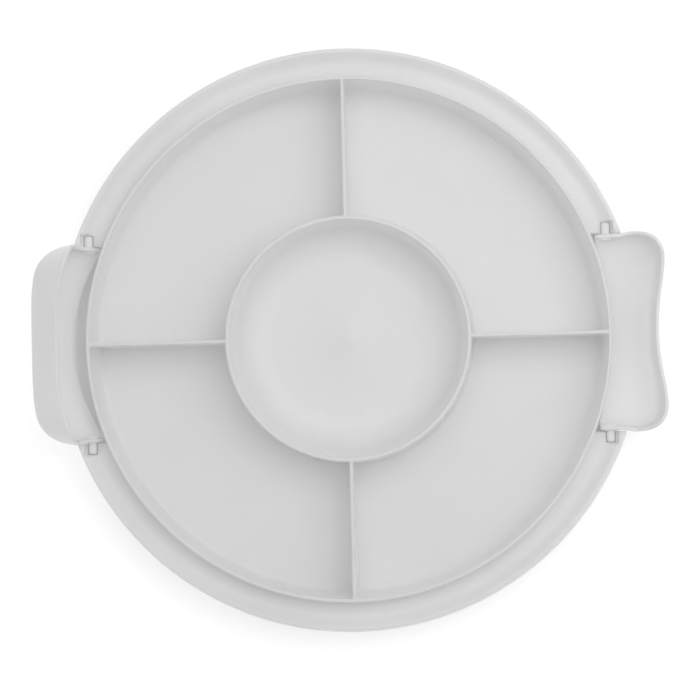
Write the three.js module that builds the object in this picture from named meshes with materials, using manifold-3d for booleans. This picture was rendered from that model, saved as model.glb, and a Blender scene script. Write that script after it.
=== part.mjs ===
import * as THREE from 'three';
import Module from 'manifold-3d';
import { mergeVertices } from 'three/addons/utils/BufferGeometryUtils.js';

// Base of a round cake carrier, tray side up: a five-section serving tray with
// a lid channel and a raised rim round it, and two hinged side latches.
// Millimetres, +Z up, origin at the centre of the flat underside.
// +X points to the right latch, +Y to the rear.

// ---- driving dimensions -------------------------------------------------
const RIM_R = 154.8;          // outer radius at the lower edge of the rim skirt
const RIM_TOP = 26.4;         // height of the rim crest
const SKIRT_BOTTOM = 13;      // lower edge of the rim skirt
const WALL_TOP = 32;          // height of the tray wall
const WALL_IN = 135.6;        // inner radius of the tray wall at its top
const WALL_OUT = 137.4;       // outer radius of the tray wall at its top
const FLOOR_TOP = 2.5;        // top of the tray floor
const CHANNEL_TOP = 23;       // floor of the lid channel
const CHANNEL_UNDER = 21;     // underside of the lid channel
const CHANNEL_R = 146;        // outer radius of the flat part of the channel
const BOWL_IN = 62.3;         // inner radius of the bowl ring at its top
const BOWL_OUT = 64.3;        // outer radius of the bowl ring at its top
const BOWL_FILLET = 20;       // inside radius between bowl floor and bowl wall
const RIB = 1.9;              // thickness of the four dividers
const RIB_TOP = 31.6;         // height of the dividers
const GAP = 0.3;              // clearance kept between neighbouring regions
const RING = 72;              // facets round the large rings
const BOWL_RING = 48;         // facets round the bowl

const NOTCH_Y = 51.8;         // half width of the latch notches in the rim
const HINGE_X = 136;          // distance of each hinge axis from the centre
const HINGE_Z = 22.5;         // height of the hinge axes
const PIN_R = 2.3;            // hinge pin radius
const PIN_END = 57.3;         // half distance over the pin ends of one latch
const KNUCKLE_R = 3.9;        // radius of the boss at each pin root
const KNUCKLE_START = 47.8;   // half distance between the inner ends of the bosses
const KNUCKLE_END = 51.5;     // half distance over the bosses
const LATCH_T = 2.0;          // wall thickness of a latch
const LEFT_ANGLE = 45;        // degrees by which the left latch stands raised

// Inside surface of a latch in its open position, one row for each slice.
// y, hinge-side edge (u, v), corner between web and lip (u, v), free edge of
// the lip (u, v); u runs outward and v up from the hinge axis. In the last row
// the corner and the free edge have run together.
const LATCH = [
  [0,    1.9, -12.0, 24.3, -18.8, 24.2, 5.0],
  [10,   1.5, -11.6, 24.6, -18.3, 24.6, 5.5],
  [20,   0.4, -10.1, 25.5, -16.9, 25.6, 7.2],
  [30,  -1.4, -7.5,  26.6, -14.2, 26.8, 11.2],
  [37,  -3.1, -5.2,  26.9, -11.8, 27.1, 14.4],
  [42,  -4.3, -2.8,  26.0, -9.2,  26.4, 16.0],
  [46,  -5.2, -0.2,  23.6, -6.0,  24.4, 15.8],
  [48.6, -5.7, 2.0,  20.0, -2.4,  21.2, 13.6],
  [49.9, -5.7, 3.4,  16.0, 1.4,   17.4, 10.2],
  [50.3, -5.6, 4.4,  12.6, 6.3,   12.6, 6.3],
];
const LATCH_END = 50.3;       // inside half length of a latch
const LATCH_END_HINGE = 49.2; // the same, beside the hinge
const BEND = 4.5;             // reach of the rounding between web and lip

// ---- materials ------------------------------------------------------------
const plastic = () => new THREE.MeshStandardMaterial({ color: 0xe9e9e6, roughness: 0.42, metalness: 0 });

const carrier = new THREE.Group();
const base = new THREE.Group();
carrier.add(base);
const add = (parent, name, geometry) => {
  const mesh = new THREE.Mesh(geometry, plastic());
  mesh.name = name;
  parent.add(mesh);
  return mesh;
};

// ---- solids by revolving ----------------------------------------------------
// A profile of [radius, height] pairs turned round the vertical axis.
const turned = (profile, facets) => {
  const g = new THREE.LatheGeometry(profile.map(([r, z]) => new THREE.Vector2(r, z)), facets);
  const p = g.attributes.position;
  for (let i = 0; i < p.count; i++) {
    const x = p.getX(i), y = p.getY(i), z = p.getZ(i);
    p.setXYZ(i, x, -z, y);
  }
  g.computeVertexNormals();
  return g;
};
const closed = (profile) => [...profile, profile[0]];

// ---- cutting and joining --------------------------------------------------
const wasm = await Module();
wasm.setup();
const solid = (geometry) => {
  const g = geometry.clone();
  g.deleteAttribute('normal');
  g.deleteAttribute('uv');
  const m = mergeVertices(g, 1e-4);
  const idx = m.index.array, tri = [];
  for (let i = 0; i < idx.length; i += 3) {
    const [a, b, c] = [idx[i], idx[i + 1], idx[i + 2]];
    if (a !== b && b !== c && c !== a) tri.push(a, b, c);
  }
  return new wasm.Manifold(new wasm.Mesh({
    numProp: 3,
    vertProperties: new Float32Array(m.attributes.position.array),
    triVerts: new Uint32Array(tri),
  }));
};
const geometryOf = (manifold) => {
  const m = manifold.getMesh();
  const g = new THREE.BufferGeometry();
  g.setAttribute('position', new THREE.BufferAttribute(new Float32Array(m.vertProperties), 3));
  g.setIndex(new THREE.BufferAttribute(new Uint32Array(m.triVerts), 1));
  g.computeVertexNormals();
  return g;
};
const block = (x0, x1, y0, y1, z0, z1) => {
  const g = new THREE.BoxGeometry(x1 - x0, y1 - y0, z1 - z0);
  g.translate((x0 + x1) / 2, (y0 + y1) / 2, (z0 + z1) / 2);
  return g;
};

// ---- tray floor, wall and bowl ---------------------------------------------
add(base, 'tray_floor', turned(closed([
  [66.7, 0], [131.2, 0], [131.2, FLOOR_TOP], [66.7, FLOOR_TOP],
]), RING));

add(base, 'tray_wall', turned(closed([
  [131.5, 0], [136.0, 0], [136.4, 1.2], [136.9, 20.7],
  [137.5, CHANNEL_UNDER], [137.5, CHANNEL_TOP], [WALL_OUT, WALL_TOP - 0.5],
  [WALL_OUT - 0.3, WALL_TOP], [WALL_IN + 0.3, WALL_TOP], [WALL_IN, WALL_TOP - 0.5],
  [134.7, 5.2], [134.0, 3.4], [132.2, FLOOR_TOP], [131.5, FLOOR_TOP],
]), RING));

const filletX = BOWL_IN - 0.5 - BOWL_FILLET, filletZ = FLOOR_TOP + BOWL_FILLET;
const bowl = [[0, 0], [47.4, 0], [50.4, 1.9], [55.4, 4.8], [59.4, 8.8], [61.7, 12.5], [63.3, 12.5], [63.7, 0],
  [66.3, 0], [66.3, FLOOR_TOP], [65.6, 3.4], [BOWL_OUT, WALL_TOP - 0.5], [BOWL_OUT - 0.3, WALL_TOP],
  [BOWL_IN + 0.3, WALL_TOP], [BOWL_IN, WALL_TOP - 0.5]];
for (const deg of [0, 18, 36, 54, 72, 90]) {
  const a = THREE.MathUtils.degToRad(deg);
  bowl.push([filletX + BOWL_FILLET * Math.cos(a), filletZ - BOWL_FILLET * Math.sin(a)]);
}
bowl.push([0, FLOOR_TOP]);
add(base, 'center_bowl', turned(bowl, BOWL_RING));

// ---- the four dividers ---------------------------------------------------------
const ribSide = new THREE.Shape([
  [66.6, FLOOR_TOP], [131.8, FLOOR_TOP], [134.2, 5.2], [135.1, RIB_TOP], [64.75, RIB_TOP], [66.0, 4.2],
].map(([r, z]) => new THREE.Vector2(r, z)));
const divider = (name, sx, sy) => {
  const g = new THREE.ExtrudeGeometry(ribSide, { depth: RIB, bevelEnabled: false });
  const p = g.attributes.position;
  // (r, z, t) of the flat shape becomes a plate along one of the four directions
  for (let i = 0; i < p.count; i++) {
    const r = p.getX(i), z = p.getY(i), t = p.getZ(i) - RIB / 2;
    p.setXYZ(i, sx * r + sy * t, sy * r - sx * t, z);
  }
  g.computeVertexNormals();
  add(base, name, g);
};
divider('right_divider', 1, 0);
divider('rear_divider', 0, 1);
divider('left_divider', -1, 0);
divider('front_divider', 0, -1);

// ---- lid channel and rim, in two arcs between the latch notches ----------------
const channelRing = solid(turned(closed([
  [137.8, CHANNEL_UNDER], [CHANNEL_R, CHANNEL_UNDER], [CHANNEL_R, CHANNEL_TOP], [137.8, CHANNEL_TOP],
]), RING));
const rimRing = solid(turned(closed([
  [CHANNEL_R + GAP, CHANNEL_UNDER], [151.3, CHANNEL_UNDER], [152.9, SKIRT_BOTTOM],
  [RIM_R, SKIRT_BOTTOM], [152.8, RIM_TOP - 1], [152.4, RIM_TOP - 0.2], [151.65, RIM_TOP],
  [150.9, RIM_TOP - 0.25], [CHANNEL_R + GAP, CHANNEL_TOP],
]), RING));

// Sockets for the hinge pins: an open groove in the channel floor at each end of
// a notch, with a tub of plastic round it.
const GROOVE = { half: PIN_R + 0.35, end: PIN_END + 0.5, floor: 19.7 };
const SOCKET = { x0: -5.3, x1: 4.2, end: 58.6, bottom: 18.3 };
for (const [side, sy] of [['rear', 1], ['front', -1]]) {
  const span = (a, b) => (sy > 0 ? [a, b] : [-b, -a]);
  const half = solid(block(-200, 200, ...span(NOTCH_Y, 200), 0, 40));
  let channel = channelRing.intersect(half);
  let rim = rimRing.intersect(half);
  for (const sx of [1, -1]) {
    const xs = (a, b) => (sx > 0 ? [HINGE_X + a, HINGE_X + b] : [-HINGE_X - b, -HINGE_X - a]);
    const room = solid(block(...xs(SOCKET.x0 - GAP, SOCKET.x1 + GAP), ...span(NOTCH_Y - 2, SOCKET.end + GAP),
      SOCKET.bottom - 1, 40));
    channel = channel.subtract(room);
    rim = rim.subtract(room);
    let socket = solid(block(...xs(SOCKET.x0, SOCKET.x1), ...span(NOTCH_Y, SOCKET.end), SOCKET.bottom, CHANNEL_TOP));
    socket = socket.subtract(solid(block(...xs(-GROOVE.half, GROOVE.half), ...span(NOTCH_Y - 1, GROOVE.end),
      GROOVE.floor, 40)));
    add(base, `${sx > 0 ? 'right' : 'left'}_${side}_hinge_socket`, geometryOf(socket));
  }
  add(base, `${side}_channel`, geometryOf(channel));
  add(base, `${side}_rim`, geometryOf(rim));
}

// ---- latches ---------------------------------------------------------------------
// One slice of the inside surface: hinge-side edge, web, rounding, lip, free edge.
const slice = (row) => {
  const [, au, av, bu, bv, cu, cv] = row;
  const a = new THREE.Vector2(au, av), b = new THREE.Vector2(bu, bv), c = new THREE.Vector2(cu, cv);
  const ab = a.distanceTo(b), bc = b.distanceTo(c);
  const k = Math.min(BEND, 0.45 * ab, 0.45 * bc);
  const p = b.clone().lerp(a, k / ab), q = b.clone().lerp(c, bc > 0 ? k / bc : 0);
  const arc = new THREE.QuadraticBezierCurve(p, b, q);
  return [a, a.clone().lerp(p, 0.5), p, arc.getPoint(0.33), arc.getPoint(0.67), q, q.clone().lerp(c, 0.5), c];
};
const rows = [...LATCH.slice(1).reverse().map((r) => [-r[0], ...r.slice(1)]), ...LATCH];
const grid = rows.map((row) => slice(row).map((p) => {
  const f = THREE.MathUtils.smoothstep(p.x, 6, 13);
  const s = (LATCH_END_HINGE + (LATCH_END - LATCH_END_HINGE) * f) / LATCH_END;
  return new THREE.Vector3(p.x, row[0] * s, p.y);
}));
const NT = grid.length, NS = grid[0].length;
const id = (layer, t, s) => layer * NT * NS + t * NS + s;
const tri = [];
const quad = (a, b, c, d) => tri.push(a, b, c, a, c, d);
for (let t = 0; t < NT - 1; t++) for (let s = 0; s < NS - 1; s++) {
  quad(id(0, t, s), id(0, t, s + 1), id(0, t + 1, s + 1), id(0, t + 1, s));
}
// The outside lies one wall thickness behind the inside, along the mean normal
// of the facets that meet at each point.
const inside = grid.flat();
const key = (p) => p.toArray().map((c) => c.toFixed(4)).join();
const normals = new Map(inside.map((p) => [key(p), new THREE.Vector3()]));
for (let i = 0; i < tri.length; i += 3) {
  const [a, b, c] = [0, 1, 2].map((k) => inside[tri[i + k]]);
  const n = new THREE.Vector3().crossVectors(b.clone().sub(a), c.clone().sub(a));
  for (const p of [a, b, c]) normals.get(key(p)).add(n);
}
const outer = inside.map((p) => p.clone().addScaledVector(normals.get(key(p)).clone().normalize(), -LATCH_T));
const points = [...inside, ...outer];
for (let t = 0; t < NT - 1; t++) for (let s = 0; s < NS - 1; s++) {
  quad(id(1, t, s), id(1, t + 1, s), id(1, t + 1, s + 1), id(1, t, s + 1));
}
for (let t = 0; t < NT - 1; t++) {
  quad(id(0, t, 0), id(0, t + 1, 0), id(1, t + 1, 0), id(1, t, 0));
  quad(id(0, t + 1, NS - 1), id(0, t, NS - 1), id(1, t, NS - 1), id(1, t + 1, NS - 1));
}
for (let s = 0; s < NS - 1; s++) {
  quad(id(0, 0, s + 1), id(0, 0, s), id(1, 0, s), id(1, 0, s + 1));
  quad(id(0, NT - 1, s), id(0, NT - 1, s + 1), id(1, NT - 1, s + 1), id(1, NT - 1, s));
}
const shell = new THREE.BufferGeometry();
shell.setAttribute('position', new THREE.BufferAttribute(new Float32Array(points.flatMap((p) => [p.x, p.y, p.z])), 3));
shell.setIndex(tri);

// Hinge pin with the boss at its root, both round the hinge axis, in one piece.
const pin = (sy) => {
  const g = new THREE.LatheGeometry([
    [0, KNUCKLE_START], [KNUCKLE_R, KNUCKLE_START], [KNUCKLE_R, KNUCKLE_END], [PIN_R, KNUCKLE_END],
    [PIN_R, PIN_END - 0.6], [PIN_R - 0.6, PIN_END], [0, PIN_END],
  ].map(([r, y]) => new THREE.Vector2(r, y)), 16);
  if (sy < 0) g.rotateX(Math.PI);
  return g;
};
let latch = solid(shell);
for (const sy of [1, -1]) latch = latch.add(solid(pin(sy)));
const latchGeometry = geometryOf(latch);

const rightHinge = new THREE.Group();
rightHinge.position.set(HINGE_X, 0, HINGE_Z);
carrier.add(rightHinge);
add(rightHinge, 'right_latch', latchGeometry);

const leftHinge = new THREE.Group();
leftHinge.position.set(-HINGE_X, 0, HINGE_Z);
leftHinge.rotation.z = Math.PI;
carrier.add(leftHinge);
add(leftHinge, 'left_latch', latchGeometry.clone()).rotation.y = -THREE.MathUtils.degToRad(LEFT_ANGLE);

export default carrier;
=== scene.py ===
import math

import bmesh
import bpy
import numpy as np
from mathutils import Matrix, Vector


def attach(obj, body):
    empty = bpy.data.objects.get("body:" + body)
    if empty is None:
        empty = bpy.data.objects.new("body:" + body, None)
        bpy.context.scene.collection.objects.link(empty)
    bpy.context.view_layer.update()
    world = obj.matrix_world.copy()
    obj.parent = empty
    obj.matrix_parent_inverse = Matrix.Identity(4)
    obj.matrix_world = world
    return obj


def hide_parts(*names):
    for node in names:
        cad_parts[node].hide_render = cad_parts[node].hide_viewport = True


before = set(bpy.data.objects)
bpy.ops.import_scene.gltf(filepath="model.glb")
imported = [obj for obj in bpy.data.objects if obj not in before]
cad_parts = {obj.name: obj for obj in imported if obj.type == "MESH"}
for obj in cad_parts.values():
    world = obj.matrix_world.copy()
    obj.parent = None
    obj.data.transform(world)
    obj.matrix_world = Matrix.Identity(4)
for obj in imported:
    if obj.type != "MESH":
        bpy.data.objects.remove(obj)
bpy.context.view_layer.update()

# Cake carrier base. Shapes are worked out in millimetres and turned to metres
# when a piece is finished. +Z up, +X to the right latch, +Y to the rear.
MM = 0.001

RIM_TOP = 26.4
SKIRT_BOTTOM = 13.0
WALL_TOP = 32.0
FLOOR_TOP = 2.5
CHANNEL_TOP = 23.0
CHANNEL_UNDER = 21.0
RIB_TOP = 31.6
NOTCH_Y = 51.8
HINGE_X, HINGE_Z = 136.0, 22.5
PIN_R, PIN_END = 2.3, 57.3
KNUCKLE_R, KNUCKLE_START, KNUCKLE_END = 3.9, 47.8, 51.5
LATCH_T = 2.0
LEFT_ANGLE = 45.0
FACETS = 320


# ---- building blocks ------------------------------------------------------------
def new_object(name, verts, faces):
    me = bpy.data.meshes.new(name)
    me.from_pydata([tuple(map(float, v)) for v in verts], [], [tuple(map(int, f)) for f in faces])
    me.update()
    ob = bpy.data.objects.new(name, me)
    bpy.context.scene.collection.objects.link(ob)
    return ob


def tidy(ob, weld=1e-4):
    bm = bmesh.new()
    bm.from_mesh(ob.data)
    bmesh.ops.remove_doubles(bm, verts=bm.verts, dist=weld)
    bmesh.ops.recalc_face_normals(bm, faces=bm.faces)
    bm.to_mesh(ob.data)
    bm.free()
    return ob


def rounded(corners, closed=True, step=11.0, keep=0.18):
    """Corners (x, y, radius) to a point list. Each corner turns into an arc, with a
    point a little way along the straight on either side of it, so that flats shade flat."""
    pts = [np.array(c[:2], float) for c in corners]
    rad = [c[2] if len(c) > 2 else 0.0 for c in corners]
    n, out = len(pts), []
    for i in range(n):
        p, r = pts[i], rad[i]
        if r <= 0 or (not closed and i in (0, n - 1)):
            out.append(p)
            continue
        a, b = pts[i - 1] - p, pts[(i + 1) % n] - p
        la, lb = np.linalg.norm(a), np.linalg.norm(b)
        a, b = a / la, b / lb
        phi = math.acos(max(-1.0, min(1.0, float(a @ b))))
        d = r / math.tan(phi / 2)
        mid = (a + b) / np.linalg.norm(a + b)
        centre = p + mid * (r / math.sin(phi / 2))
        s, e = p + a * d - centre, p + b * d - centre
        turn = math.pi - phi
        k = max(2, int(math.ceil(math.degrees(turn) / step)))
        if la - d > 3 * keep:
            out.append(p + a * (d + keep))
        sign = np.sign(s[0] * e[1] - s[1] * e[0])
        for j in range(k + 1):
            t = sign * turn * j / k
            c, w = math.cos(t), math.sin(t)
            out.append(centre + np.array([c * s[0] - w * s[1], w * s[0] + c * s[1]]))
        if lb - d > 3 * keep:
            out.append(p + b * (d + keep))
    return np.array(out)


def revolve(name, profile, closed=False, n=FACETS):
    th = np.arange(n) * 2 * math.pi / n
    m = len(profile)
    verts = [(r * math.cos(t), r * math.sin(t), z) for t in th for r, z in profile]
    faces = []
    for j in range(n):
        k = (j + 1) % n
        for i in range(m if closed else m - 1):
            g = (i + 1) % m
            faces.append((j * m + i, k * m + i, k * m + g, j * m + g))
    return tidy(new_object(name, verts, faces))


def boolean(ob, other, operation):
    mod = ob.modifiers.new("join", "BOOLEAN")
    mod.object, mod.operation, mod.solver = other, operation, "MANIFOLD"
    dg = bpy.context.evaluated_depsgraph_get()
    me = bpy.data.meshes.new_from_object(ob.evaluated_get(dg))
    ob.modifiers.clear()
    old, ob.data = ob.data, me
    bpy.data.meshes.remove(old)
    tool = other.data
    bpy.data.objects.remove(other)
    bpy.data.meshes.remove(tool)
    return ob


def block(name, x, y, z, bevel=0.0, segments=3):
    bm = bmesh.new()
    bmesh.ops.create_cube(bm, size=1.0)
    for v in bm.verts:
        v.co = Vector((x[0] + (v.co.x + 0.5) * (x[1] - x[0]), y[0] + (v.co.y + 0.5) * (y[1] - y[0]),
                       z[0] + (v.co.z + 0.5) * (z[1] - z[0])))
    if bevel > 0:
        bmesh.ops.bevel(bm, geom=bm.edges[:] + bm.verts[:], offset=bevel, segments=segments, profile=0.5,
                        affect="EDGES")
    me = bpy.data.meshes.new(name)
    bm.to_mesh(me)
    bm.free()
    ob = bpy.data.objects.new(name, me)
    bpy.context.scene.collection.objects.link(ob)
    return ob


def finish_shape(ob, angle=32.0):
    """Millimetres to metres, smooth shading with sharp edges kept."""
    me = ob.data
    me.transform(Matrix.Scale(MM, 4))
    me.shade_smooth()
    me.set_sharp_from_angle(angle=math.radians(angle))
    me.update()
    return ob


# ---- tray: floor, wall and bowl in one turned section ------------------------------
tray_profile = rounded([
    (0.0, 0.0),
    (47.4, 0.0, 0.8), (55.7, 3.6, 14.0), (61.4, 12.9, 0.6), (63.35, 12.9, 0.6), (63.75, 0.0, 0.5),
    (136.0, 0.0, 0.9), (137.4, WALL_TOP, 0.65), (135.6, WALL_TOP, 0.55),
    (134.6, FLOOR_TOP, 3.0), (65.85, FLOOR_TOP, 1.3),
    (64.3, WALL_TOP, 0.65), (62.3, WALL_TOP, 0.6), (60.75, FLOOR_TOP, 20.0),
    (1.7, FLOOR_TOP), (1.45, FLOOR_TOP + 0.1), (0.0, FLOOR_TOP + 0.13),
], closed=False)


def signed_distance(points):
    """Distance from each (r, z) to the tray's section, negative inside the plastic."""
    a = tray_profile
    b = np.roll(a, -1, axis=0)
    p = points[:, None, :]
    ab = (b - a)[None]
    t = np.clip(((p - a[None]) * ab).sum(2) / np.maximum((ab ** 2).sum(2), 1e-12), 0, 1)
    d = np.linalg.norm(p - (a[None] + ab * t[..., None]), axis=2).min(1)
    y0, y1 = a[None, :, 1], b[None, :, 1]
    cross = ((y0 > p[..., 1]) != (y1 > p[..., 1]))
    with np.errstate(divide="ignore", invalid="ignore"):
        x = a[None, :, 0] + (p[..., 1] - y0) * (b - a)[None, :, 0] / (y1 - y0)
    inside = (cross & (p[..., 0] < x)).sum(1) % 2 == 1
    return np.where(inside, -d, d)


def divider(name, direction):
    """A thin rib with draft, a rounded top edge and a small fillet where it meets the tray."""
    rs = np.unique(np.concatenate([
        np.arange(63.3, 68.4, 0.28), np.arange(68.4, 130.0, 3.0), np.arange(130.0, 136.1, 0.28)]))
    zs = np.unique(np.concatenate([
        np.array([1.7]), np.arange(2.3, 6.2, 0.24), np.arange(6.2, 30.6, 1.9),
        RIB_TOP - np.array([0.75, 0.45, 0.30, 0.18, 0.09, 0.03, 0.0])]))
    R, Z = np.meshgrid(rs, zs, indexing="ij")
    d = signed_distance(np.stack([R.ravel(), Z.ravel()], 1)).reshape(R.shape)
    base = 0.84 + 0.11 * (RIB_TOP - Z) / 29.0
    fillet, low = 1.0, 0.045
    e = np.clip(d, low, fillet)
    bulge = fillet - np.sqrt(np.maximum(fillet ** 2 - (fillet - e) ** 2, 0))
    slope = (fillet - low) / math.sqrt(fillet ** 2 - (fillet - low) ** 2)
    bulge += np.clip(low - d, 0, 0.35) * slope
    rho = 0.42
    top = np.clip(RIB_TOP - Z, 0, rho)
    crown = rho - np.sqrt(np.maximum(rho ** 2 - (rho - top) ** 2, 0))
    w = base + bulge * np.clip((RIB_TOP - Z) / 1.5, 0.25, 1) - crown
    nr, nz = R.shape
    verts, faces = [], []
    for s in (1, -1):
        for i in range(nr):
            for j in range(nz):
                verts.append((R[i, j], s * w[i, j], Z[i, j]))
    at = lambda s, i, j: s * nr * nz + i * nz + j
    for i in range(nr - 1):
        for j in range(nz - 1):
            faces.append((at(0, i, j), at(0, i, j + 1), at(0, i + 1, j + 1), at(0, i + 1, j)))
            faces.append((at(1, i, j), at(1, i + 1, j), at(1, i + 1, j + 1), at(1, i, j + 1)))
        faces.append((at(0, i, 0), at(0, i + 1, 0), at(1, i + 1, 0), at(1, i, 0)))
        faces.append((at(0, i, nz - 1), at(1, i, nz - 1), at(1, i + 1, nz - 1), at(0, i + 1, nz - 1)))
    for j in range(nz - 1):
        faces.append((at(0, 0, j), at(1, 0, j), at(1, 0, j + 1), at(0, 0, j + 1)))
        faces.append((at(0, nr - 1, j), at(0, nr - 1, j + 1), at(1, nr - 1, j + 1), at(1, nr - 1, j)))
    ob = tidy(new_object(name, verts, faces), 1e-5)
    ob.data.transform(Matrix.Rotation(math.radians(direction), 4, "Z"))
    return ob


# ---- lid channel and rim ---------------------------------------------------------
rim_profile = rounded([
    (136.57, 19.9), (137.02, 19.9), (137.04, CHANNEL_UNDER, 0.9), (151.2, CHANNEL_UNDER, 1.6),
    (152.9, SKIRT_BOTTOM, 0.42), (154.8, SKIRT_BOTTOM, 0.5), (152.7, RIM_TOP, 0.9), (150.9, RIM_TOP, 0.7),
    (146.2, CHANNEL_TOP, 7.0), (137.27, CHANNEL_TOP, 0.9), (137.28, 24.3), (136.57, 24.3),
])


def inset(profile, d):
    """The closed section moved inwards by d."""
    if d <= 0:
        return profile.copy()
    a, b = np.roll(profile, 1, axis=0), np.roll(profile, -1, axis=0)
    t1, t2 = profile - a, b - profile
    t1 /= np.maximum(np.linalg.norm(t1, axis=1, keepdims=True), 1e-9)
    t2 /= np.maximum(np.linalg.norm(t2, axis=1, keepdims=True), 1e-9)
    t = t1 + t2
    t /= np.maximum(np.linalg.norm(t, axis=1, keepdims=True), 1e-9)
    area = 0.5 * (profile[:, 0] * b[:, 1] - b[:, 0] * profile[:, 1]).sum()
    n = np.stack([-t[:, 1], t[:, 0]], 1) * np.sign(area)
    return profile + n * d


def rim_arc(name, side):
    """One arc of the channel and rim, with flat ends beside the latch notches."""
    b, n = 0.3, 190
    cols = []
    for k in range(4):
        delta = b * (1 - math.cos(k / 3 * math.pi / 2))
        cut = b - math.sqrt(max(b * b - (b - delta) ** 2, 0))
        p = inset(rim_profile, cut)
        cols.append((p, np.arcsin((NOTCH_Y + delta) / p[:, 0])))
    p, start = cols[-1]
    angles = [(q, t) for q, t in cols]
    for k in range(1, n):
        angles.append((p, start + (math.pi - 2 * start) * k / n))
    angles += [(q, math.pi - t) for q, t in reversed(cols)]
    m = len(rim_profile)
    verts, faces = [], []
    for q, t in angles:
        verts += [(r * math.cos(a), r * math.sin(a), z) for (r, z), a in zip(q, t)]
    for j in range(len(angles) - 1):
        for i in range(m):
            g = (i + 1) % m
            faces.append((j * m + i, (j + 1) * m + i, (j + 1) * m + g, j * m + g))
    faces.append(tuple(range(m)))
    faces.append(tuple(reversed(range((len(angles) - 1) * m, len(angles) * m))))
    ob = tidy(new_object(name, verts, faces), 1e-5)
    if side < 0:
        ob.data.transform(Matrix.Rotation(math.pi, 4, "Z"))
    return ob


base = revolve("base_moulding", tray_profile)
for direction in (0, 90, 180, 270):
    base = boolean(base, divider("rib", direction), "UNION")
for side in (1, -1):
    base = boolean(base, rim_arc("arc", side), "UNION")

# hinge sockets: a tub under each end of the channel, a flat round the pin, and the groove that carries it
for sx in (1, -1):
    for sy in (1, -1):
        def xs(a, b):
            return (HINGE_X + a, HINGE_X + b) if sx > 0 else (-HINGE_X - b, -HINGE_X - a)

        def ys(a, b):
            return (a, b) if sy > 0 else (-b, -a)
        base = boolean(base, block("tub", xs(-5.3, 4.1), ys(NOTCH_Y, 58.6), (18.3, 22.6), 0.45), "UNION")
        base = boolean(base, block("relief", xs(-3.4, 4.0), ys(NOTCH_Y - 3, 58.5), (CHANNEL_TOP, 40.0), 1.1, 4), "DIFFERENCE")
        base = boolean(base, block("groove", xs(-2.42, 2.42), ys(NOTCH_Y - 3, 57.42), (19.9, 40.0), 0.4, 4), "DIFFERENCE")
finish_shape(base)


# ---- latches -------------------------------------------------------------------------
# Inside surface of an open latch: y, hinge-side edge (u, v), corner between web and
# lip (u, v), free edge of the lip (u, v); u outward and v up from the hinge axis.
LATCH = np.array([
    [0.0, 1.9, -12.0, 24.3, -18.8, 24.2, 5.0],
    [10.0, 1.5, -11.6, 24.6, -18.3, 24.6, 5.5],
    [20.0, 0.4, -10.1, 25.5, -16.9, 25.6, 7.2],
    [30.0, -1.4, -7.5, 26.6, -14.2, 26.8, 11.2],
    [37.0, -3.1, -5.2, 26.9, -11.8, 27.1, 14.4],
    [42.0, -4.3, -2.8, 26.0, -9.2, 26.4, 16.0],
    [46.0, -5.2, -0.2, 23.6, -6.0, 24.4, 15.8],
    [48.6, -5.7, 2.0, 20.0, -2.4, 21.2, 13.6],
    [49.9, -5.7, 3.4, 16.0, 1.4, 17.4, 10.2],
    [50.3, -5.6, 4.4, 12.6, 6.3, 12.6, 6.3],
])
LATCH_END, LATCH_END_HINGE, BEND = 50.3, 49.2, 5.0


def pchip(x, y, q):
    """Smooth curve through the rows that doesn't overshoot them."""
    h, d = np.diff(x), np.diff(y) / np.diff(x)
    m = np.zeros(len(x))
    for i in range(1, len(x) - 1):
        if d[i - 1] * d[i] > 0:
            w1, w2 = 2 * h[i] + h[i - 1], h[i] + 2 * h[i - 1]
            m[i] = (w1 + w2) / (w1 / d[i - 1] + w2 / d[i])
    m[0], m[-1] = d[0], d[-1]
    i = np.clip(np.searchsorted(x, q, side="right") - 1, 0, len(h) - 1)
    t = (q - x[i]) / h[i]
    return ((2 * t ** 3 - 3 * t ** 2 + 1) * y[i] + (t ** 3 - 2 * t ** 2 + t) * h[i] * m[i]
            + (-2 * t ** 3 + 3 * t ** 2) * y[i + 1] + (t ** 3 - t ** 2) * h[i] * m[i + 1])


def latch_surface():
    """Grid of points on the inside surface, rows along the latch and columns across it."""
    rows = np.vstack([LATCH[:0:-1] * np.array([-1, 1, 1, 1, 1, 1, 1]), LATCH])
    x = np.arange(len(rows), dtype=float)
    q = np.linspace(0, x[-1], 18 * 9 + 1)
    val = np.stack([pchip(x, rows[:, c], q) for c in range(7)], 1)
    for _ in range(5):   # ease the small changes of curvature at the rows
        val[1:-1] = 0.25 * val[:-2] + 0.5 * val[1:-1] + 0.25 * val[2:]
    val[-1, 3:5] = val[-1, 5:7]
    val[0, 3:5] = val[0, 5:7]
    grid = []
    for y, au, av, bu, bv, cu, cv in val:
        a, b, c = np.array([au, av]), np.array([bu, bv]), np.array([cu, cv])
        ab, bc = np.linalg.norm(b - a), np.linalg.norm(c - b)
        k = min(BEND, 0.45 * ab, 0.45 * bc)
        p = b + (a - b) * (k / ab)
        e = b + (c - b) * (k / bc) if bc > 1e-6 else b.copy()
        line = [a + (p - a) * t for t in np.linspace(0, 1, 17)[:-1]]
        line += [(1 - t) ** 2 * p + 2 * t * (1 - t) * b + t * t * e for t in np.linspace(0, 1, 11)[:-1]]
        line += [e + (c - e) * t for t in np.linspace(0, 1, 13)]
        pts = []
        for u, v in line:
            f = min(max((u - 6) / 7, 0), 1)
            f = f * f * (3 - 2 * f)
            s = (LATCH_END_HINGE + (LATCH_END - LATCH_END_HINGE) * f) / LATCH_END
            pts.append((u, y * s, v))
        grid.append(pts)
    return np.array(grid)


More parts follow.
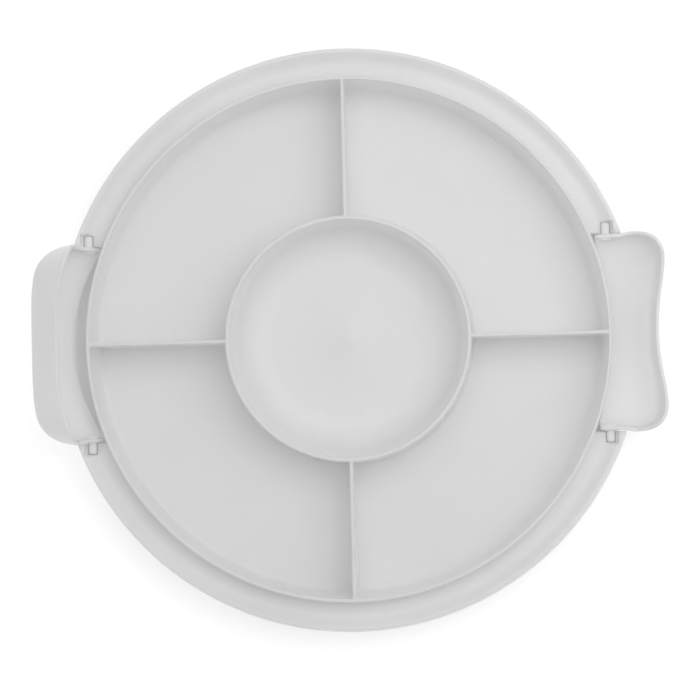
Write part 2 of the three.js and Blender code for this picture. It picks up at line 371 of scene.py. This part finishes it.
def latch_mesh(name):
    """One latch, hinge axis on the Y axis: a shell of even thickness with rounded
    edges, and a pin with its boss at each end."""
    g = latch_surface()
    nt, ns, _ = g.shape
    verts = g.reshape(-1, 3)
    faces = [(t * ns + s, t * ns + s + 1, (t + 1) * ns + s + 1, (t + 1) * ns + s)
             for t in range(nt - 1) for s in range(ns - 1)]
    sheet = new_object("sheet", verts, faces)
    bm = bmesh.new()
    bm.from_mesh(sheet.data)
    bmesh.ops.remove_doubles(bm, verts=bm.verts, dist=2e-3)
    bm.normal_update()
    bm.verts.ensure_lookup_table()
    P = np.array([v.co for v in bm.verts])
    N = np.array([v.normal for v in bm.verts])
    F = [[v.index for v in f.verts] for f in bm.faces]
    nxt = {}
    for e in bm.edges:
        if len(e.link_faces) == 1:
            loop = next(l for l in e.link_faces[0].loops if l.edge == e)
            nxt[loop.vert.index] = loop.link_loop_next.vert.index
    bm.free()
    bpy.data.meshes.remove(sheet.data)
    start = min(nxt)
    ring = [start]
    while nxt[ring[-1]] != start:
        ring.append(nxt[ring[-1]])
    hollow = np.array([14.0, 0.0, 4.0])          # a point on the hollow side
    side = 1.0 if ((hollow - P[np.argmin(np.abs(P - [12, 0, -15]).sum(1))]) @
                   N[np.argmin(np.abs(P - [12, 0, -15]).sum(1))]) > 0 else -1.0
    N = N * side
    T, R = LATCH_T, 0.62
    # the rim of the sheet, pulled back by the reach of its rounding
    rp, rn = P[ring], N[ring]
    tan = np.roll(rp, -1, axis=0) - np.roll(rp, 1, axis=0)
    tan /= np.linalg.norm(tan, axis=1, keepdims=True)
    out = np.cross(tan, rn)
    out /= np.linalg.norm(out, axis=1, keepdims=True)
    if (out[0] @ (rp[0] - P.mean(0))) < 0 and np.mean((out * (rp - P.mean(0))).sum(1)) < 0:
        out = -out
    elif np.mean((out * (rp - P.mean(0))).sum(1)) < 0:
        out = -out
    V = [*P]
    inner = list(range(len(P)))
    for i, k in enumerate(ring):
        V[k] = P[k] - out[i] * R
    V = np.array(V)
    # vertices just inside the rim follow part of the way, so that no row folds over
    near = np.array([np.min(np.linalg.norm(rp - p, axis=1)) for p in P])
    which = np.array([np.argmin(np.linalg.norm(rp - p, axis=1)) for p in P])
    reach = 3.0
    on_ring = np.zeros(len(P), bool)
    on_ring[ring] = True
    for k in range(len(P)):
        if not on_ring[k] and near[k] < reach:
            V[k] = P[k] - out[which[k]] * R * (1 - near[k] / reach) ** 2
    n = len(V)
    O = V - N * T
    verts = [*V, *O]
    faces = [tuple(f) if side > 0 else tuple(reversed(f)) for f in F]
    faces += [tuple(n + i for i in reversed(f)) for f in list(faces)]
    steps = 7
    loops = [[k for k in ring]]
    for j in range(1, steps):
        a = math.pi * j / steps
        ce, se = math.cos(a), math.sin(a)
        ce = math.copysign(abs(ce) ** 0.7, ce)
        se = abs(se) ** 0.7
        idx = []
        for i, k in enumerate(ring):
            mid = V[k] - N[k] * T / 2
            idx.append(len(verts))
            verts.append(mid + N[k] * (T / 2) * ce + out[i] * R * se)
        loops.append(idx)
    loops.append([n + k for k in ring])
    m = len(ring)
    for a, b in zip(loops, loops[1:]):
        for i in range(m):
            h = (i + 1) % m
            faces.append((a[i], a[h], b[h], b[i]))
    ob = tidy(new_object(name, verts, faces), 1e-5)
    for sy in (1, -1):
        prof = rounded([
            (0.0, KNUCKLE_START), (KNUCKLE_R, KNUCKLE_START, 0.8), (KNUCKLE_R, KNUCKLE_END, 0.7),
            (PIN_R, KNUCKLE_END, 0.35), (PIN_R, PIN_END, 0.75), (0.0, PIN_END),
        ], closed=False)
        pin = revolve("pin", prof, n=56)
        pin.data.transform(Matrix.Rotation(-sy * math.pi / 2, 4, "X"))
        ob = boolean(ob, pin, "UNION")
    return ob


right = latch_mesh("latch_right")
left = right.copy()
left.data = right.data.copy()
left.name = "latch_left"
bpy.context.scene.collection.objects.link(left)
right.data.transform(Matrix.Translation((HINGE_X, 0, HINGE_Z)))
left.data.transform(Matrix.Translation((-HINGE_X, 0, HINGE_Z)) @ Matrix.Rotation(math.pi, 4, "Z")
                    @ Matrix.Rotation(-math.radians(LEFT_ANGLE), 4, "Y"))
finish_shape(right)
finish_shape(left)


# ---- plastic -----------------------------------------------------------------------------
def plastic(name, tone, seed, ring=None, crest=None):
    """Satin moulded polypropylene: slight clouding of colour and gloss, a fine moulded
    grain and the faint long waves of a slim-walled moulding. Painted shade: with no ring
    given, convex edges are painted a shade greyer; with a ring given, the part outside the
    ring radius and the part above the crest height are painted a shade greyer."""
    mat = bpy.data.materials.new(name)
    mat.use_nodes = True
    nt = mat.node_tree
    nt.nodes.clear()
    new, link = nt.nodes.new, nt.links.new
    out = new("ShaderNodeOutputMaterial")
    bsdf = new("ShaderNodeBsdfPrincipled")
    link(bsdf.outputs["BSDF"], out.inputs["Surface"])
    coord = new("ShaderNodeTexCoord")
    shift = new("ShaderNodeMapping")
    shift.inputs["Location"].default_value = (seed, seed * 0.37, seed * 0.61)
    link(coord.outputs["Object"], shift.inputs["Vector"])

    def noise(scale, detail, rough=0.5):
        n = new("ShaderNodeTexNoise")
        n.inputs["Scale"].default_value = scale
        n.inputs["Detail"].default_value = detail
        n.inputs["Roughness"].default_value = rough
        link(shift.outputs["Vector"], n.inputs["Vector"])
        return n
    cloud = noise(16.0, 3.0)

    def span(source, lo, hi, a, b, smooth=False):
        n = new("ShaderNodeMapRange")
        if smooth:
            n.interpolation_type = "SMOOTHSTEP"
        n.inputs["From Min"].default_value, n.inputs["From Max"].default_value = lo, hi
        n.inputs["To Min"].default_value, n.inputs["To Max"].default_value = a, b
        link(source, n.inputs["Value"])
        return n
    # painted shade mask: convex edges found by pointiness when no ring is given; with a ring, the tops above the
    # crest height and the rim outside the ring radius
    if ring is None:
        geo = new("ShaderNodeNewGeometry")
        painted_shade = span(geo.outputs["Pointiness"], 0.505, 0.555, 0.0, 1.1, True).outputs["Result"]
    else:
        part = new("ShaderNodeSeparateXYZ")
        link(coord.outputs["Object"], part.inputs[0])
        high = span(part.outputs["Z"], crest, crest + 0.0008, 0.0, 1.1, True)
        flat = new("ShaderNodeMapping")
        flat.inputs["Scale"].default_value = (1.0, 1.0, 0.0)
        link(coord.outputs["Object"], flat.inputs["Vector"])
        radius = new("ShaderNodeVectorMath")
        radius.operation = "LENGTH"
        link(flat.outputs["Vector"], radius.inputs[0])
        outside = span(radius.outputs["Value"], ring, ring + 0.0006, 0.0, 0.75, True)
        most = new("ShaderNodeMath")
        most.operation = "MAXIMUM"
        link(high.outputs["Result"], most.inputs[0])
        link(outside.outputs["Result"], most.inputs[1])
        painted_shade = most.outputs["Value"]
    # the dark end of this ramp takes the random clouding and the painted shade alike
    tint = new("ShaderNodeValToRGB")
    tint.color_ramp.elements[0].color = (*[c * 0.835 for c in tone], 1)
    tint.color_ramp.elements[1].color = (*[min(c * 1.015, 1) for c in tone], 1)
    fac = span(cloud.outputs["Fac"], 0.3, 0.7, 0.68, 1.0)
    # painted shade: the mask pulls the tone towards the ramp's darker end
    link(span(painted_shade, 0.0, 1.5, 0.78, 0.0).outputs["Result"], fac.inputs["To Min"])
    link(span(painted_shade, 0.0, 1.5, 1.0, 0.22).outputs["Result"], fac.inputs["To Max"])
    link(fac.outputs["Result"], tint.inputs["Fac"])
    link(tint.outputs["Color"], bsdf.inputs["Base Color"])
    gloss = noise(38.0, 4.0, 0.6)
    link(span(gloss.outputs["Fac"], 0.3, 0.7, 0.38, 0.5).outputs["Result"], bsdf.inputs["Roughness"])
    grain = noise(1500.0, 2.0)
    wave = noise(28.0, 1.0)
    b1 = new("ShaderNodeBump")
    b1.inputs["Strength"].default_value = 0.10
    b1.inputs["Distance"].default_value = 0.00005
    link(grain.outputs["Fac"], b1.inputs["Height"])
    b2 = new("ShaderNodeBump")
    b2.inputs["Strength"].default_value = 0.22
    b2.inputs["Distance"].default_value = 0.0004
    link(wave.outputs["Fac"], b2.inputs["Height"])
    link(b1.outputs["Normal"], b2.inputs["Normal"])
    link(b2.outputs["Normal"], bsdf.inputs["Normal"])
    bsdf.inputs["IOR"].default_value = 1.49
    bsdf.inputs["Subsurface Weight"].default_value = 0.7
    bsdf.inputs["Subsurface Radius"].default_value = (1.0, 1.0, 1.0)
    bsdf.inputs["Subsurface Scale"].default_value = 0.003
    return mat


base_mat = plastic("white_plastic_base", (0.930, 0.929, 0.928), 0.0, ring=0.1376, crest=0.0308)
# painted light: the latch copy of the plastic is a shade lighter than the base's, so the latches read brighter
latch_mat = plastic("white_plastic_latch", (0.945, 0.944, 0.937), 3.1)
for ob, mat in ((base, base_mat), (right, latch_mat), (left, latch_mat)):
    ob.data.materials.clear()
    ob.data.materials.append(mat)
for n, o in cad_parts.items():
    o.data.materials.clear()
    o.data.materials.append(latch_mat if n.endswith("_latch") else base_mat)

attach(base, "base")
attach(right, "right_latch_body")
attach(left, "left_latch_body")
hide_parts(*[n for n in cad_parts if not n.endswith("_latch")])
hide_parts("right_latch")
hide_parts("left_latch")


# ---- floor, light and camera ------------------------------------------------------------------
floor = new_object("floor", [(-4, -4, -0.0001), (4, -4, -0.0001), (4, 4, -0.0001), (-4, 4, -0.0001)], [(0, 1, 2, 3)])
fm = bpy.data.materials.new("floor_white")
fm.use_nodes = True
fb = fm.node_tree.nodes["Principled BSDF"]
place = fm.node_tree.nodes.new("ShaderNodeTexCoord")
reach = fm.node_tree.nodes.new("ShaderNodeVectorMath")
reach.operation = "LENGTH"
fm.node_tree.links.new(place.outputs["Object"], reach.inputs[0])
glow = fm.node_tree.nodes.new("ShaderNodeMapRange")
glow.interpolation_type = "SMOOTHSTEP"
glow.inputs["From Min"].default_value, glow.inputs["From Max"].default_value = 0.146, 0.154
glow.inputs["To Min"].default_value, glow.inputs["To Max"].default_value = 0.0, 0.50
fm.node_tree.links.new(reach.outputs["Value"], glow.inputs["Value"])
fm.node_tree.links.new(glow.outputs["Result"], fb.inputs["Emission Strength"])
fb.inputs["Base Color"].default_value = (0.78, 0.78, 0.78, 1)
fb.inputs["Roughness"].default_value = 0.9
fb.inputs["Specular IOR Level"].default_value = 0.1
fb.inputs["Emission Color"].default_value = (1, 1, 1, 1)
floor.data.materials.append(fm)

world = bpy.data.worlds.new("studio")
bpy.context.scene.world = world
world.use_nodes = True
world.node_tree.nodes["Background"].inputs["Color"].default_value = (1.0, 1.0, 1.0, 1)
height = world.node_tree.nodes.new("ShaderNodeTexCoord")
parts = world.node_tree.nodes.new("ShaderNodeSeparateXYZ")
lift = world.node_tree.nodes.new("ShaderNodeMapRange")
lift.inputs["To Min"].default_value, lift.inputs["To Max"].default_value = 0.346, 0.622
world.node_tree.links.new(height.outputs["Generated"], parts.inputs[0])
world.node_tree.links.new(parts.outputs["Z"], lift.inputs["Value"])
world.node_tree.links.new(lift.outputs["Result"], world.node_tree.nodes["Background"].inputs["Strength"])


def area(name, size, power, location, target=(0, 0, 0)):
    lamp = bpy.data.lights.new(name, "AREA")
    lamp.shape, lamp.size, lamp.size_y, lamp.energy = "RECTANGLE", size[0], size[1], power
    ob = bpy.data.objects.new(name, lamp)
    ob.location = location
    ob.rotation_euler = (Vector(target) - Vector(location)).to_track_quat("-Z", "Y").to_euler()
    bpy.context.scene.collection.objects.link(ob)
    return ob


key = area("key", (0.50, 0.50), 0.835, (0.398, 0.145, 0.678))
top = area("top", (0.50, 0.50), 0.685, (0.034, 0.190, 0.673))
for lamp in (key, top):
    lamp.visible_camera = False

distance, roll = 1.100, math.radians(1.4)
lean_x, lean_y = math.sin(math.radians(1.6)), math.sin(math.radians(1.67))
cam = bpy.data.cameras.new("camera")
cam.sensor_fit, cam.sensor_width = "HORIZONTAL", 36.0
cam.lens = 36.0 * 1.100 / 0.37121
cam.shift_x, cam.shift_y = 1.0 / 700, -10.7 / 700
cam_ob = bpy.data.objects.new("camera", cam)
bpy.context.scene.collection.objects.link(cam_ob)
look = Vector((-lean_x, lean_y, -math.sqrt(1 - lean_x ** 2 - lean_y ** 2)))
up = Vector((math.sin(roll), math.cos(roll), 0))
z_axis = -look
x_axis = up.cross(z_axis).normalized()
y_axis = z_axis.cross(x_axis)
cam_ob.matrix_world = Matrix.Translation(Vector((0, 0, 0.013)) - look * distance) @ \
    Matrix((x_axis, y_axis, z_axis)).transposed().to_4x4()
bpy.context.scene.camera = cam_ob
bpy.context.scene.view_settings.view_transform = "Standard"

bpy.context.view_layer.update()
